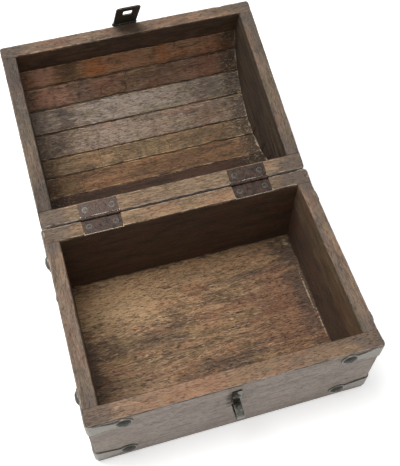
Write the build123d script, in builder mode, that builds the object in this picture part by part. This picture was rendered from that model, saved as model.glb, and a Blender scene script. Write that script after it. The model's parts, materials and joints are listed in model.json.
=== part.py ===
from build123d import *
from math import cos, radians, sin, tan
import os

os.makedirs("parts", exist_ok=True)

# A small wooden chest with a coopered, barrel-shaped lid that stands open.
# The origin is the centre of the footprint on the ground. The front faces -Y,
# the hinges are at the back (+Y) and +Z is up. Lengths are in millimetres.

# ------------------------------------------------------------ driving sizes

# Box
box_length = 260.0
box_depth = 194.0
box_height = 98.0
end_thickness = 14.0
front_thickness = 16.4
back_thickness = 16.4
corner_radius = 3.0
foot_radius = 2.8
rim_radius = 1.0
floor_thickness = 7.0
floor_rebate = 6.0
floor_play = 0.2

# Lid
lid_open_angle = 165.35
rim_gap = 0.8
front_rail_thickness = 13.3
back_rail_thickness = 16.7
rail_height = 30.0
rail_shoulder_radius = 5.0
lid_end_thickness = 14.0
spring_angle = 18.0
stave_thickness = 8.5
stave_gap = 0.3
stave_shares = (16.3, 16.3, 17.0, 18.4, 14.6, 19.8, 13.6, 14.0, 14.0)
stave_outer_radius = 1.6
stave_inner_radius = 0.5

# Corner straps and their studs
strap_thickness = 1.0
strap_corner_height = 18.4
strap_neck_height = 10.4
strap_neck_inset = 22.5
strap_lobe_radius = 8.2
strap_junction_radius = 3.0
upper_strap_drop = 10.0
lower_strap_level = 17.5
stud_inset = 30.5
stud_radius = 6.4
stud_height = 4.7
stud_shank_radius = 1.5
stud_shank_length = 11.0
low_nail_radius = 4.5
low_nail_height = 2.1
head_rim = 0.4

# Butt hinges
hinge_centres = {"left": -74.2, "right": 72.6}
hinge_length = 37.4
hinge_leaf_thickness = 1.0
hinge_knuckle_radius = 1.8
hinge_pin_radius = 0.9
hinge_overhang = 0.5
hinge_screw_spread = 25.4
hinge_screw_inset = 8.3
lid_leaf_setback = 1.5

# Hasp and its plate on the lid
hasp_offset = -2.0
hasp_width = 23.9
hasp_length = 58.0
hasp_thickness = 1.2
hasp_tip_radius = 5.0
hasp_slot_width = 9.0
hasp_slot_start = 32.1
hasp_slot_end = 46.7
hasp_slot_corner = 1.2
hasp_lean = 18.8
hasp_latched_angle = 3.0
hasp_knuckle_radius = 1.9
hasp_knuckle_length = 10.0
hasp_pin_radius = 0.9
hasp_pin_head_radius = 1.3
hasp_pin_head_length = 0.8
hasp_axis_standoff = 2.4
hasp_axis_height = 1.5
hasp_plate_width = 24.0
hasp_plate_height = 19.1
hasp_plate_thickness = 1.2
hasp_plate_corner = 3.0
hasp_plate_lift = 0.9
hasp_screw_spread = 14.4
hasp_screw_levels = (8.9, 15.2)

# Staple on the front of the box
staple_width = 7.0
staple_strip = 1.4
staple_reach = 15.0
staple_eye_height = 12.0
staple_bend_radius = 4.9
staple_tail = 8.0
staple_plate_width = 9.0
staple_plate_length = 21.0
staple_plate_thickness = 1.2
staple_plate_corner = 1.0
staple_screw_drop = 12.0
staple_screw_head_radius = 3.5
staple_screw_head_height = 1.3

# Screws and nails
screw_head_radius = 2.8
screw_shank_radius = 1.3
screw_length = 10.0
small_screw_head_radius = 2.4
small_screw_shank_radius = 1.1
small_screw_length = 9.0
recess_width = 0.8
recess_span = 3.2
recess_depth = 0.7
nail_head_width = 4.6
nail_shank_width = 2.2
nail_head_depth = 0.8
nail_taper = 0.8
corner_nail_length = 38.0
corner_nail_shift = 4.5
floor_nail_length = 18.0
floor_nail_spread = 0.6
floor_nail_end_spread = 0.4
rail_nail_length = 34.0
rail_nail_levels = (9.0, 21.0)
stave_nail_head_width = 3.6
stave_nail_shank_width = 1.8
stave_nail_length = 20.0
stave_nail_margin = 6.0

# Clearances
knuckle_gap = 0.3
pin_play = 0.05
fastener_play = 0.05
mortise_play = 0.1
countersink_angle = 90.0

# --------------------------------------------------------- derived positions

half_length = box_length / 2
half_depth = box_depth / 2
inner_front = -half_depth + front_thickness
inner_back = half_depth - back_thickness
inner_end = half_length - end_thickness
cavity_centre = (inner_front + inner_back) / 2
cavity_depth = inner_back - inner_front
nail_line = half_length - end_thickness / 2
upper_strap_level = box_height - upper_strap_drop

hinge_y = half_depth + hinge_overhang
hinge_z = box_height + rim_gap / 2
hinge_knuckle_length = (hinge_length - 2 * knuckle_gap) / 3
hinge_screw_y = half_depth - hinge_screw_inset

# The lid is drawn as if it were shut, with heights measured from its rim, on
# a frame that is turned open about the hinge axis.
lid_frame = Plane(
    Location((0, hinge_y, hinge_z), (-lid_open_angle, 0, 0))
    * Location((0, -hinge_y, rim_gap / 2))
)


def on_lid(plane):
    """The given plane, carried by the open lid."""
    return Plane(lid_frame.location * plane.location)


# The hollow of the lid is an arch that springs from the inner top edges of
# the two rails.
rail_front_face = -half_depth + front_rail_thickness
rail_back_face = half_depth - back_rail_thickness
arch_centre = (rail_front_face + rail_back_face) / 2
arch_half_span = (rail_back_face - rail_front_face) / 2
arch_radius = arch_half_span / cos(radians(spring_angle))
arch_height = rail_height - arch_half_span * tan(radians(spring_angle))
seam_angles = [
    spring_angle + (180 - 2 * spring_angle) * sum(stave_shares[:i]) / sum(stave_shares)
    for i in range(len(stave_shares) + 1)
]
seam_points = [
    (
        arch_centre - arch_radius * cos(radians(angle)),
        arch_height + arch_radius * sin(radians(angle)),
    )
    for angle in seam_angles
]

# The hasp swings on an axis just in front of the lid's front rail. Its leaf
# leans inward past the rim, and its slot sets the height of the staple.
hasp_axis_y = -half_depth - hasp_axis_standoff
hasp_frame = Plane(
    origin=(hasp_offset, hasp_axis_y, hasp_axis_height),
    x_dir=(1, 0, 0),
    z_dir=(0, cos(radians(hasp_lean)), sin(radians(hasp_lean))),
)
hasp_slot_middle = (hasp_slot_start + hasp_slot_end) / 2
hasp_drop = hasp_slot_middle * cos(radians(hasp_latched_angle))
staple_eye_level = box_height + rim_gap + hasp_axis_height - hasp_drop
staple_strip_level = staple_eye_level + (staple_eye_height - staple_strip) / 2
staple_tail_level = staple_eye_level - (staple_eye_height - staple_strip) / 2
staple_top = staple_eye_level + staple_eye_height / 2 + staple_plate_length
staple_screw_level = staple_top - staple_screw_drop

# ---------------------------------------------------------------- fasteners


def countersunk(head_radius, shank_radius, length):
    """A pointed fastener whose flat head lies at z = 0, with its shank below."""
    with BuildPart() as fastener:
        with BuildSketch(Plane.XZ):
            with BuildLine():
                Polyline(
                    (0, 0),
                    (head_radius, 0),
                    (shank_radius, shank_radius - head_radius),
                    (shank_radius, shank_radius - length),
                    (0, -length),
                    close=True,
                )
            make_face()
        revolve(axis=Axis.Z)
    return fastener.part


def domed(head_radius, head_height, shank_radius, length):
    """A pointed fastener with a domed head that stands above z = 0."""
    with BuildPart() as fastener:
        with BuildSketch(Plane.XZ):
            with BuildLine():
                TangentArc((0, head_height), (head_radius, head_rim), tangent=(1, 0))
                Polyline(
                    (head_radius, head_rim),
                    (head_radius, 0),
                    (shank_radius, 0),
                    (shank_radius, shank_radius - length),
                    (0, -length),
                    (0, head_height),
                )
            make_face()
        revolve(axis=Axis.Z)
    return fastener.part


def cut_nail(head_width, shank_width, length):
    """A square nail whose flat head lies at z = 0, with its tapered shank below."""
    with BuildPart() as nail:
        with BuildSketch():
            Rectangle(head_width, head_width)
        extrude(amount=-nail_head_depth)
        with BuildSketch():
            Rectangle(shank_width, shank_width)
        extrude(amount=-length, taper=nail_taper)
    return nail.part


def crossed(fastener, head_height=0.0):
    """The fastener with a cross recess sunk in the top of its head."""
    with BuildPart() as screw:
        add(fastener)
        with Locations((0, 0, head_height)):
            Box(recess_span, recess_width, 2 * recess_depth, mode=Mode.SUBTRACT)
            Box(recess_width, recess_span, 2 * recess_depth, mode=Mode.SUBTRACT)
    return screw.part


def fasteners(label, fastener, planes):
    """One node with the same fastener driven in at each of the planes."""
    with BuildPart() as group:
        with Locations(*planes):
            add(fastener)
    group.part.label = label
    export_step(group.part, f"parts/{label}.step")


def sink_holes(planes, head_radius, shank_radius, length):
    """Countersunk holes for fasteners in the part being built."""
    with Locations(*planes):
        CounterSinkHole(
            radius=shank_radius + fastener_play,
            counter_sink_radius=head_radius + fastener_play,
            depth=length + fastener_play,
            counter_sink_angle=countersink_angle,
        )


def nail_holes(planes, head_width, shank_width, length):
    """Square holes for cut nails in the part being built."""
    play = 2 * fastener_play
    hole = cut_nail(head_width + play, shank_width + play, length + play)
    with Locations(*planes):
        add(hole, mode=Mode.SUBTRACT)


def face_plane(side, x, z):
    """Plane on the front (-1) or back (1) of the box, facing outward."""
    return Plane(origin=(x, side * half_depth, z), x_dir=(-side, 0, 0), z_dir=(0, side, 0))


def end_plane(side, y, z):
    """Plane on the left (-1) or right (1) end of the box, facing outward."""
    return Plane(origin=(side * half_length, y, z), x_dir=(0, side, 0), z_dir=(side, 0, 0))


corner_nail_planes = [
    face_plane(face, side * nail_line, level)
    for face in (-1, 1)
    for side in (-1, 1)
    for level in (upper_strap_level - corner_nail_shift, lower_strap_level + corner_nail_shift)
]
floor_nail_planes = [
    Plane(origin=(x, y, 0), x_dir=(1, 0, 0), z_dir=(0, 0, -1))
    for x, y in [
        (share * half_length, face)
        for share in (-floor_nail_spread, 0, floor_nail_spread)
        for face in (inner_front - floor_rebate / 2, inner_back + floor_rebate / 2)
    ]
    + [
        (side * (inner_end + floor_rebate / 2), share * half_depth)
        for side in (-1, 1)
        for share in (-floor_nail_end_spread, floor_nail_end_spread)
    ]
]


def stud_planes(face, side, level):
    """Where the two studs of one strap pass through the box's surface."""
    return [
        face_plane(face, side * (half_length - stud_inset), level),
        end_plane(side, face * (half_depth - stud_inset), level),
    ]


# The back legs of the two upper straps have low nails, because the lid's back
# rail folds down close behind them.
high_stud_planes = []
low_nail_planes = []
for face in (-1, 1):
    for side in (-1, 1):
        face_stud, end_stud = stud_planes(face, side, upper_strap_level)
        if face == 1:
            low_nail_planes.append(face_stud)
        else:
            high_stud_planes.append(face_stud)
        high_stud_planes.append(end_stud)
        high_stud_planes += stud_planes(face, side, lower_strap_level)

box_screw_planes = [
    Plane(origin=(centre + step * hinge_screw_spread / 2, hinge_screw_y, box_height))
    for centre in hinge_centres.values()
    for step in (-1, 1)
]
lid_screw_planes = [
    on_lid(
        Plane(
            origin=(centre + step * hinge_screw_spread / 2, hinge_screw_y, 0),
            x_dir=(1, 0, 0),
            z_dir=(0, 0, -1),
        )
    )
    for centre in hinge_centres.values()
    for step in (-1, 1)
]
staple_screw_plane = face_plane(-1, hasp_offset, staple_screw_level)

# ------------------------------------------------------------------ the box

# The four boards are butted, nailed and then rounded together, so the rounding
# runs across their joints. The front and back boards cover the end grain.
with BuildPart() as carcass:
    with BuildSketch():
        RectangleRounded(box_length, box_depth, corner_radius)
    extrude(amount=box_height)
    fillet(carcass.faces().sort_by(Axis.Z)[0].edges(), foot_radius)
    with BuildSketch():
        with Locations((0, cavity_centre)):
            Rectangle(2 * inner_end, cavity_depth)
    extrude(amount=box_height, mode=Mode.SUBTRACT)
    fillet(carcass.faces().sort_by(Axis.Z)[-1].edges(), rim_radius)
    with BuildSketch():
        with Locations((0, cavity_centre)):
            Rectangle(2 * (inner_end + floor_rebate), cavity_depth + 2 * floor_rebate)
    extrude(amount=floor_thickness, mode=Mode.SUBTRACT)


def keep_between(x_range, y_range):
    """Keep only what lies between the given faces in the part being built."""
    with Locations((sum(x_range) / 2, sum(y_range) / 2, box_height / 2)):
        Box(
            x_range[1] - x_range[0],
            y_range[1] - y_range[0],
            box_height,
            mode=Mode.INTERSECT,
        )


def drill_box_board():
    """The holes of the box's nails and studs in the board being built."""
    nail_holes(corner_nail_planes, nail_head_width, nail_shank_width, corner_nail_length)
    nail_holes(floor_nail_planes, nail_head_width, nail_shank_width, floor_nail_length)
    with Locations(*high_stud_planes, *low_nail_planes):
        Hole(stud_shank_radius + fastener_play, stud_shank_length)


with BuildPart() as front_board:
    add(carcass.part)
    keep_between((-half_length, half_length), (-half_depth, inner_front))
    drill_box_board()
    with Locations(staple_screw_plane):
        Hole(screw_shank_radius + fastener_play, screw_length)
    # The tail of the staple is driven into a narrow mortise.
    with BuildSketch(face_plane(-1, hasp_offset, staple_tail_level)):
        Rectangle(staple_width + 2 * mortise_play, staple_strip + 2 * mortise_play)
    extrude(amount=-staple_tail - mortise_play, mode=Mode.SUBTRACT)
front_board.part.label = "front_board"
export_step(front_board.part, "parts/front_board.step")

with BuildPart() as back_board:
    add(carcass.part)
    keep_between((-half_length, half_length), (inner_back, half_depth))
    drill_box_board()
    # The hinge leaves are let in flush with the rim, and the barrels lie in a
    # rounded groove along its outer edge.
    for centre in hinge_centres.values():
        with Locations((centre, inner_back, box_height)):
            Box(
                hinge_length,
                2 * back_thickness,
                2 * hinge_leaf_thickness,
                mode=Mode.SUBTRACT,
            )
        with BuildSketch(Plane.YZ.offset(centre)):
            with Locations((hinge_y, hinge_z)):
                Circle(hinge_knuckle_radius + knuckle_gap)
        extrude(amount=hinge_length / 2 + knuckle_gap, both=True, mode=Mode.SUBTRACT)
    sink_holes(box_screw_planes, screw_head_radius, screw_shank_radius, screw_length)
back_board.part.label = "back_board"
export_step(back_board.part, "parts/back_board.step")

for side, name in ((-1, "left"), (1, "right")):
    with BuildPart() as end_board:
        add(carcass.part)
        keep_between(sorted((side * inner_end, side * half_length)), (inner_front, inner_back))
        drill_box_board()
    end_board.part.label = f"{name}_board"
    export_step(end_board.part, f"parts/{name}_board.step")

with BuildPart() as floor_board:
    with BuildSketch():
        with Locations((0, cavity_centre)):
            Rectangle(
                2 * (inner_end + floor_rebate - floor_play),
                cavity_depth + 2 * (floor_rebate - floor_play),
            )
    extrude(amount=floor_thickness)
    nail_holes(floor_nail_planes, nail_head_width, nail_shank_width, floor_nail_length)
floor_board.part.label = "floor_board"
export_step(floor_board.part, "parts/floor_board.step")

corner_nail = cut_nail(nail_head_width, nail_shank_width, corner_nail_length)
fasteners("corner_nails", corner_nail, corner_nail_planes)
floor_nail = cut_nail(nail_head_width, nail_shank_width, floor_nail_length)
fasteners("floor_nails", floor_nail, floor_nail_planes)

# --------------------------------------------------- corner straps and studs


def strap_leg(plane, edge, inward, level):
    """Side view of one strap leg, made solid: flared at the box's edge, drawn
    in to a neck and ending in a round lobe under its stud."""
    lobe_centre = (edge + inward * stud_inset, level)
    corner_half = strap_corner_height / 2
    neck_half = strap_neck_height / 2
    past_edge = edge - inward * 2 * strap_thickness
    with BuildPart() as leg:
        with BuildSketch(plane) as view:
            with BuildLine():
                Polyline(
                    (past_edge, level - corner_half),
                    (edge + inward * corner_radius, level - corner_half),
                    (edge + inward * strap_neck_inset, level - neck_half),
                    (lobe_centre[0], level - neck_half),
                    (lobe_centre[0], level + neck_half),
                    (edge + inward * strap_neck_inset, level + neck_half),
                    (edge + inward * corner_radius, level + corner_half),
                    (past_edge, level + corner_half),
                    close=True,
                )
            make_face()
            with Locations(lobe_centre):
                Circle(strap_lobe_radius)
            junctions = view.vertices().sort_by_distance(Vertex(*lobe_centre, 0))[:2]
            fillet(junctions, strap_junction_radius)
        extrude(amount=corner_radius + 2 * strap_thickness, both=True)
    return leg.part


strap_reach = stud_inset + strap_lobe_radius
for level_name, level in (("upper", upper_strap_level), ("lower", lower_strap_level)):
    for face, face_name in ((-1, "front"), (1, "back")):
        for side, side_name in ((-1, "left"), (1, "right")):
            face_leg = strap_leg(
                Plane.XZ.offset(-face * half_depth), side * half_length, -side, level
            )
            end_leg = strap_leg(
                Plane.YZ.offset(side * half_length), face * half_depth, -face, level
            )
            with BuildPart() as legs:
                add(face_leg)
                add(end_leg)
            with BuildPart() as strap:
                with BuildSketch(Plane.XY.offset(level - strap_corner_height / 2)):
                    RectangleRounded(
                        box_length + 2 * strap_thickness,
                        box_depth + 2 * strap_thickness,
                        corner_radius + strap_thickness,
                    )
                    RectangleRounded(box_length, box_depth, corner_radius, mode=Mode.SUBTRACT)
                    with Locations((side * half_length, face * half_depth)):
                        Rectangle(2 * strap_reach, 2 * strap_reach, mode=Mode.INTERSECT)
                extrude(amount=strap_corner_height)
                add(legs.part, mode=Mode.INTERSECT)
                with Locations(*stud_planes(face, side, level)):
                    Hole(stud_shank_radius + fastener_play)
            strap_name = f"{level_name}_{face_name}_{side_name}_strap"
            strap.part.label = strap_name
            export_step(strap.part, f"parts/{strap_name}.step")


def raised(planes, height):
    """The planes moved outward, onto metal of the given thickness."""
    return [plane.offset(height) for plane in planes]


stud = domed(stud_radius, stud_height, stud_shank_radius, stud_shank_length)
fasteners("strap_studs", stud, raised(high_stud_planes, strap_thickness))
low_nail = domed(low_nail_radius, low_nail_height, stud_shank_radius, stud_shank_length)
fasteners("back_strap_nails", low_nail, raised(low_nail_planes, strap_thickness))

# ------------------------------------------------------------------ the lid

# Frame of the lid: a front and a back rail with the end panels between them.
# The top of each rail is planed to the first seam of the arch.

rail_nail_planes = [
    on_lid(face_plane(face, side * nail_line, level))
    for face in (-1, 1)
    for side in (-1, 1)
    for level in rail_nail_levels
]


def lid_rail(face, inner_y):
    """One full-length rail, front (-1) or back (1), without its fittings."""
    outer_y = face * half_depth
    thickness = abs(outer_y - inner_y)
    outer_top = rail_height + thickness * tan(radians(spring_angle))
    with BuildPart() as rail:
        with BuildSketch(on_lid(Plane.YZ)) as profile:
            with BuildLine():
                Polyline(
                    (outer_y, 0),
                    (inner_y, 0),
                    (inner_y, rail_height),
                    (outer_y, outer_top),
                    close=True,
                )
            make_face()
            shoulder = profile.vertices().sort_by_distance(Vertex(outer_y, outer_top, 0))[0]
            fillet(shoulder, rail_shoulder_radius)
        extrude(amount=half_length, both=True)
        with BuildSketch(on_lid(Plane.XY)):
            RectangleRounded(box_length, box_depth, corner_radius)
        extrude(amount=2 * rail_height, mode=Mode.INTERSECT)
        rim = rail.faces().sort_by(Axis((0, 0, 0), lid_frame.z_dir))[0]
        fillet(rim.edges(), rim_radius)
        nail_holes(rail_nail_planes, nail_head_width, nail_shank_width, rail_nail_length)
    return rail.part


hasp_plate_face = on_lid(Plane.XZ.offset(half_depth + hasp_plate_thickness))
hasp_screw_planes = [
    on_lid(
        Plane(
            origin=(hasp_offset + x, -half_depth - hasp_plate_thickness, z),
            x_dir=(1, 0, 0),
            z_dir=(0, -1, 0),
        )
    )
    for x, z in (
        (-hasp_screw_spread / 2, hasp_screw_levels[0]),
        (hasp_screw_spread / 2, hasp_screw_levels[0]),
        (0, hasp_screw_levels[1]),
    )
]

with BuildPart() as lid_front_rail:
    add(lid_rail(-1, rail_front_face))
    sink_holes(
        hasp_screw_planes, small_screw_head_radius, small_screw_shank_radius, small_screw_length
    )
lid_front_rail.part.label = "lid_front_rail"
export_step(lid_front_rail.part, "parts/lid_front_rail.step")

with BuildPart() as lid_back_rail:
    add(lid_rail(1, rail_back_face))
    for centre in hinge_centres.values():
        with BuildSketch(on_lid(Plane.YZ.offset(centre))):
            with Locations((hinge_y, -rim_gap / 2)):
                Circle(hinge_knuckle_radius + knuckle_gap)
        extrude(amount=hinge_length / 2 + knuckle_gap, both=True, mode=Mode.SUBTRACT)
        with BuildSketch(on_lid(Plane.XY)):
            with Locations((centre, rail_back_face)):
                Rectangle(hinge_length, 2 * back_rail_thickness)
        extrude(amount=hinge_leaf_thickness, mode=Mode.SUBTRACT)
    sink_holes(lid_screw_planes, screw_head_radius, screw_shank_radius, screw_length)
lid_back_rail.part.label = "lid_back_rail"
export_step(lid_back_rail.part, "parts/lid_back_rail.step")


# Staves: flat boards with bevelled edges that meet on lines through the
# middle of the arch. Each is nailed to both end panels.


def stave_frame(first, last):
    """Plane on the inner face of a stave, half-way along the lid, with x across
    the stave and y outward, and the distance of that face from the middle of
    the arch."""
    middle = radians((first + last) / 2)
    distance = arch_radius * cos(radians((last - first) / 2))
    frame_plane = Plane(
        origin=(
            0,
            arch_centre - distance * cos(middle),
            arch_height + distance * sin(middle),
        ),
        x_dir=(0, sin(middle), cos(middle)),
        z_dir=(1, 0, 0),
    )
    return frame_plane, distance


stave_nail_planes = []
stave_number = 0
for first, last in zip(seam_angles, seam_angles[1:]):
    stave_number += 1
    frame_plane, distance = stave_frame(first, last)
    slope = tan(radians((last - first) / 2))
    inner_half = distance * slope - stave_gap / 2
    outer_half = (distance + stave_thickness) * slope - stave_gap / 2
    nail_planes = [
        Plane(
            origin=frame_plane.from_local_coords((x, stave_thickness, end * nail_line)),
            x_dir=frame_plane.z_dir,
            z_dir=frame_plane.y_dir,
        )
        for end in (-1, 1)
        for x in (stave_nail_margin - inner_half, inner_half - stave_nail_margin)
    ]
    carried_nail_planes = [on_lid(plane) for plane in nail_planes]
    stave_nail_planes += carried_nail_planes
    with BuildPart() as stave:
        with BuildSketch(on_lid(frame_plane)) as section:
            with BuildLine():
                Polyline(
                    (-inner_half, 0),
                    (inner_half, 0),
                    (outer_half, stave_thickness),
                    (-outer_half, stave_thickness),
                    close=True,
                )
            make_face()
            fillet(section.vertices().group_by(Axis.Y)[-1], stave_outer_radius)
            fillet(section.vertices().group_by(Axis.Y)[0], stave_inner_radius)
        extrude(amount=half_length, both=True)
        nail_holes(
            carried_nail_planes,
            stave_nail_head_width,
            stave_nail_shank_width,
            stave_nail_length,
        )
    stave.part.label = f"stave_{stave_number}"
    export_step(stave.part, f"parts/stave_{stave_number}.step")

for side, name in ((-1, "left"), (1, "right")):
    with BuildPart() as lid_end:
        with BuildSketch(on_lid(Plane.YZ.offset(side * half_length))):
            with BuildLine():
                Polyline((rail_front_face, 0), *seam_points, (rail_back_face, 0), close=True)
            make_face()
        extrude(amount=-side * lid_end_thickness)
        rim = lid_end.faces().sort_by(Axis((0, 0, 0), lid_frame.z_dir))[0]
        fillet(rim.edges().filter_by(Axis((0, 0, 0), lid_frame.y_dir)), rim_radius)
        nail_holes(rail_nail_planes, nail_head_width, nail_shank_width, rail_nail_length)
        nail_holes(
            stave_nail_planes,
            stave_nail_head_width,
            stave_nail_shank_width,
            stave_nail_length,
        )
    lid_end.part.label = f"lid_{name}_end"
    export_step(lid_end.part, f"parts/lid_{name}_end.step")

rail_nail = cut_nail(nail_head_width, nail_shank_width, rail_nail_length)
fasteners("rail_nails", rail_nail, rail_nail_planes)
stave_nail = cut_nail(stave_nail_head_width, stave_nail_shank_width, stave_nail_length)
fasteners("stave_nails", stave_nail, stave_nail_planes)

# -------------------------------------------------------------- butt hinges

# Each hinge has three knuckles: the middle one is on the box leaf, the outer
# two are on the lid leaf. Both leaves are drawn on the box's YZ plane.


def hinge_leaf(label, frame, centre, inner_y, levels, own_knuckles, other_knuckles, screws):
    """One leaf with its knuckles. The levels are its lower and upper faces."""
    barrel = (hinge_y, hinge_z)
    with BuildPart() as leaf:
        with BuildSketch(frame(Plane.YZ.offset(centre))):
            with Locations(((inner_y + hinge_y) / 2, sum(levels) / 2)):
                Rectangle(hinge_y - inner_y, hinge_leaf_thickness)
        extrude(amount=hinge_length / 2, both=True)
        for start, end in other_knuckles:
            with BuildSketch(frame(Plane.YZ.offset(centre + start - knuckle_gap))):
                with Locations(barrel):
                    Circle(hinge_knuckle_radius + knuckle_gap)
            extrude(amount=end - start + 2 * knuckle_gap, mode=Mode.SUBTRACT)
        for start, end in own_knuckles:
            with BuildSketch(frame(Plane.YZ.offset(centre + start))):
                with Locations(barrel):
                    Circle(hinge_knuckle_radius)
            extrude(amount=end - start)
        with BuildSketch(frame(Plane.YZ.offset(centre))):
            with Locations(barrel):
                Circle(hinge_pin_radius + pin_play)
        extrude(amount=hinge_length / 2, both=True, mode=Mode.SUBTRACT)
        sink_holes(screws, screw_head_radius, screw_shank_radius, screw_length)
    leaf.part.label = label
    export_step(leaf.part, f"parts/{label}.step")


def on_box(plane):
    """Planes of the box's own fittings stay where they are."""
    return plane


def on_shut_lid(plane):
    """A plane drawn on the shut chest, carried along to the open lid."""
    return on_lid(Plane(Location((0, 0, -box_height - rim_gap)) * plane.location))


middle_knuckle = [(-hinge_knuckle_length / 2, hinge_knuckle_length / 2)]
outer_knuckles = [
    (-hinge_length / 2, -hinge_knuckle_length / 2 - knuckle_gap),
    (hinge_knuckle_length / 2 + knuckle_gap, hinge_length / 2),
]
box_leaf_levels = (box_height - hinge_leaf_thickness, box_height)
lid_leaf_levels = (box_height + rim_gap, box_height + rim_gap + hinge_leaf_thickness)
for name, centre in hinge_centres.items():
    hinge_leaf(
        f"hinge_{name}_box_leaf",
        on_box,
        centre,
        inner_back,
        box_leaf_levels,
        middle_knuckle,
        outer_knuckles,
        box_screw_planes,
    )
    hinge_leaf(
        f"hinge_{name}_lid_leaf",
        on_shut_lid,
        centre,
        rail_back_face + lid_leaf_setback,
        lid_leaf_levels,
        outer_knuckles,
        middle_knuckle,
        lid_screw_planes,
    )
    with BuildPart() as hinge_pin:
        with BuildSketch(Plane.YZ.offset(centre)):
            with Locations((hinge_y, hinge_z)):
                Circle(hinge_pin_radius)
        extrude(amount=hinge_length / 2, both=True)
    hinge_pin.part.label = f"hinge_{name}_pin"
    export_step(hinge_pin.part, f"parts/hinge_{name}_pin.step")

hinge_screw = crossed(countersunk(screw_head_radius, screw_shank_radius, screw_length))
fasteners("hinge_box_screws", hinge_screw, box_screw_planes)
fasteners("hinge_lid_screws", hinge_screw, lid_screw_planes)

# ---------------------------------------------------------- hasp and staple

knuckle_half = hasp_knuckle_length / 2
plate_half = hasp_plate_width / 2
hasp_axis = (hasp_axis_y, hasp_axis_height)

# The plate is screwed to the front rail and carries the two outer knuckles.
with BuildPart() as hasp_plate:
    with BuildSketch(hasp_plate_face) as plate_view:
        with Locations((hasp_offset, hasp_plate_lift + hasp_plate_height / 2)):
            Rectangle(hasp_plate_width, hasp_plate_height)
        fillet(plate_view.vertices().group_by(Axis.Y)[-1], hasp_plate_corner)
        # Room for the leaf's own knuckle.
        with Locations((hasp_offset, hasp_plate_lift)):
            Rectangle(
                hasp_knuckle_length + 2 * knuckle_gap,
                2 * (hasp_axis_height - hasp_plate_lift + hasp_knuckle_radius + knuckle_gap),
                mode=Mode.SUBTRACT,
            )
    extrude(amount=-hasp_plate_thickness)
    for start in (-plate_half, knuckle_half + knuckle_gap):
        with BuildSketch(on_lid(Plane.YZ.offset(hasp_offset + start))):
            with Locations(hasp_axis):
                Circle(hasp_knuckle_radius)
        extrude(amount=plate_half - knuckle_half - knuckle_gap)
    with BuildSketch(on_lid(Plane.YZ.offset(hasp_offset))):
        with Locations(hasp_axis):
            Circle(hasp_pin_radius + pin_play)
    extrude(amount=plate_half, both=True, mode=Mode.SUBTRACT)
    sink_holes(
        hasp_screw_planes, small_screw_head_radius, small_screw_shank_radius, small_screw_length
    )
hasp_plate.part.label = "hasp_plate"
export_step(hasp_plate.part, "parts/hasp_plate.step")

small_screw = crossed(
    countersunk(small_screw_head_radius, small_screw_shank_radius, small_screw_length)
)
fasteners("hasp_plate_screws", small_screw, hasp_screw_planes)

with BuildPart() as hasp_pin:
    with BuildSketch(on_lid(Plane.YZ.offset(hasp_offset))):
        with Locations(hasp_axis):
            Circle(hasp_pin_radius)
    extrude(amount=plate_half, both=True)
    for side in (-1, 1):
        with BuildSketch(on_lid(Plane.YZ.offset(hasp_offset + side * (plate_half + pin_play)))):
            with Locations(hasp_axis):
                Circle(hasp_pin_head_radius)
        extrude(amount=side * hasp_pin_head_length)
        with BuildSketch(on_lid(Plane.YZ.offset(hasp_offset + side * plate_half))):
            with Locations(hasp_axis):
                Circle(hasp_pin_radius)
        extrude(amount=side * pin_play)
hasp_pin.part.label = "hasp_pin"
export_step(hasp_pin.part, "parts/hasp_pin.step")

# The swinging leaf: x runs across it, and y from its axis to its tip.
leaf_plane = on_lid(hasp_frame)
leaf_start = hasp_knuckle_radius + knuckle_gap
with BuildPart() as hasp_leaf:
    with BuildSketch(leaf_plane.offset(-hasp_thickness / 2)) as leaf_view:
        with Locations((0, (leaf_start + hasp_length) / 2)):
            Rectangle(hasp_width, hasp_length - leaf_start)
        fillet(leaf_view.vertices().group_by(Axis.Y)[-1], hasp_tip_radius)
        with Locations((0, leaf_start / 2)):
            Rectangle(hasp_knuckle_length, leaf_start + knuckle_gap)
        with Locations((0, hasp_slot_middle)):
            RectangleRounded(
                hasp_slot_width,
                hasp_slot_end - hasp_slot_start,
                hasp_slot_corner,
                mode=Mode.SUBTRACT,
            )
    extrude(amount=hasp_thickness)
    with BuildSketch(on_lid(Plane.YZ.offset(hasp_offset))):
        with Locations(hasp_axis):
            Circle(hasp_knuckle_radius)
    extrude(amount=knuckle_half, both=True)
    with BuildSketch(on_lid(Plane.YZ.offset(hasp_offset))):
        with Locations(hasp_axis):
            Circle(hasp_pin_radius + pin_play)
    extrude(amount=knuckle_half, both=True, mode=Mode.SUBTRACT)
hasp_leaf.part.label = "hasp_leaf"
export_step(hasp_leaf.part, "parts/hasp_leaf.step")

# One strip bent out of a flat plate into an eye, with its tail in the board.
strip_front = -half_depth - staple_reach + staple_strip / 2
with BuildPart() as staple:
    with BuildSketch(Plane.XZ.offset(half_depth)) as plate_outline:
        with Locations((hasp_offset, staple_top - staple_plate_length / 2)):
            Rectangle(staple_plate_width, staple_plate_length)
        fillet(plate_outline.vertices().group_by(Axis.Y)[-1], staple_plate_corner)
    extrude(amount=staple_plate_thickness)
    with BuildLine(Plane.YZ.offset(hasp_offset)) as bend:
        FilletPolyline(
            (-half_depth, staple_strip_level),
            (strip_front, staple_strip_level),
            (strip_front, staple_tail_level),
            (-half_depth + staple_tail, staple_tail_level),
            radius=staple_bend_radius,
        )
    with BuildSketch(face_plane(-1, hasp_offset, staple_strip_level)):
        Rectangle(staple_width, staple_strip)
    sweep(path=bend.wire())
    with Locations(staple_screw_plane):
        Hole(screw_shank_radius + fastener_play)
staple.part.label = "staple"
export_step(staple.part, "parts/staple.step")

staple_screw = crossed(
    domed(
        staple_screw_head_radius, staple_screw_head_height, screw_shank_radius, screw_length
    ),
    staple_screw_head_height,
)
fasteners("staple_screw", staple_screw, raised([staple_screw_plane], staple_plate_thickness))
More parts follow.
